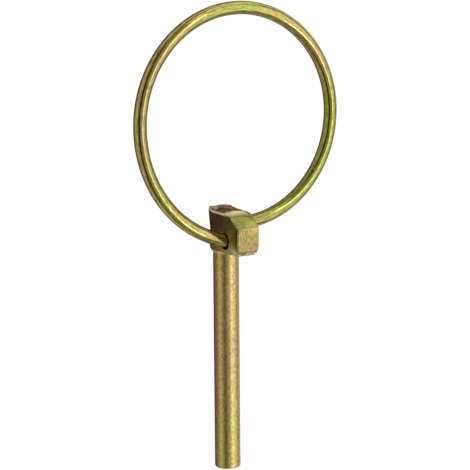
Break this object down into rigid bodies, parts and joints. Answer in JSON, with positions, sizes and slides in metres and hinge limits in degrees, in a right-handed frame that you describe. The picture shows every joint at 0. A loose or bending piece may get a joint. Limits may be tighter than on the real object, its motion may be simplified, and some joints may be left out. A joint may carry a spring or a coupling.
{
  "type": "linch pin",
  "caption": "Linch pin with a round shank, a forged nosed head and a spring-wire ring that swings over and snaps shut along the shank to lock the pin in a cross hole.",
  "frame": {"origin": "on the shank's axis at the underside of the head, where the shank begins", "axes": "+Y along the shank's axis from the tip to the head and the open ring, +Z towards the nose of the head, X across the thickness of the head; the pin lies on its back"},
  "size_m": [0.0405, 0.0819, 0.0096],
  "materials": {
    "pin_steel": "zinc plated with yellow chromate, satin, over forged and sheared steel",
    "ring_steel": "zinc plated with yellow chromate, satin, over drawn spring wire"
  },
  "bodies": {
    "pin": {"pin": "pin_steel"},
    "ring": {"spring_ring": "ring_steel"}
  },
  "joints": [
    {"name": "ring_swing", "type": "hinge", "parent": "pin", "child": "ring", "pos_m": [0, 0.00377, 0.00305], "axis": [1, 0, 0], "range_deg": [0, 179], "deforming": ["spring_ring"]}
  ]
}
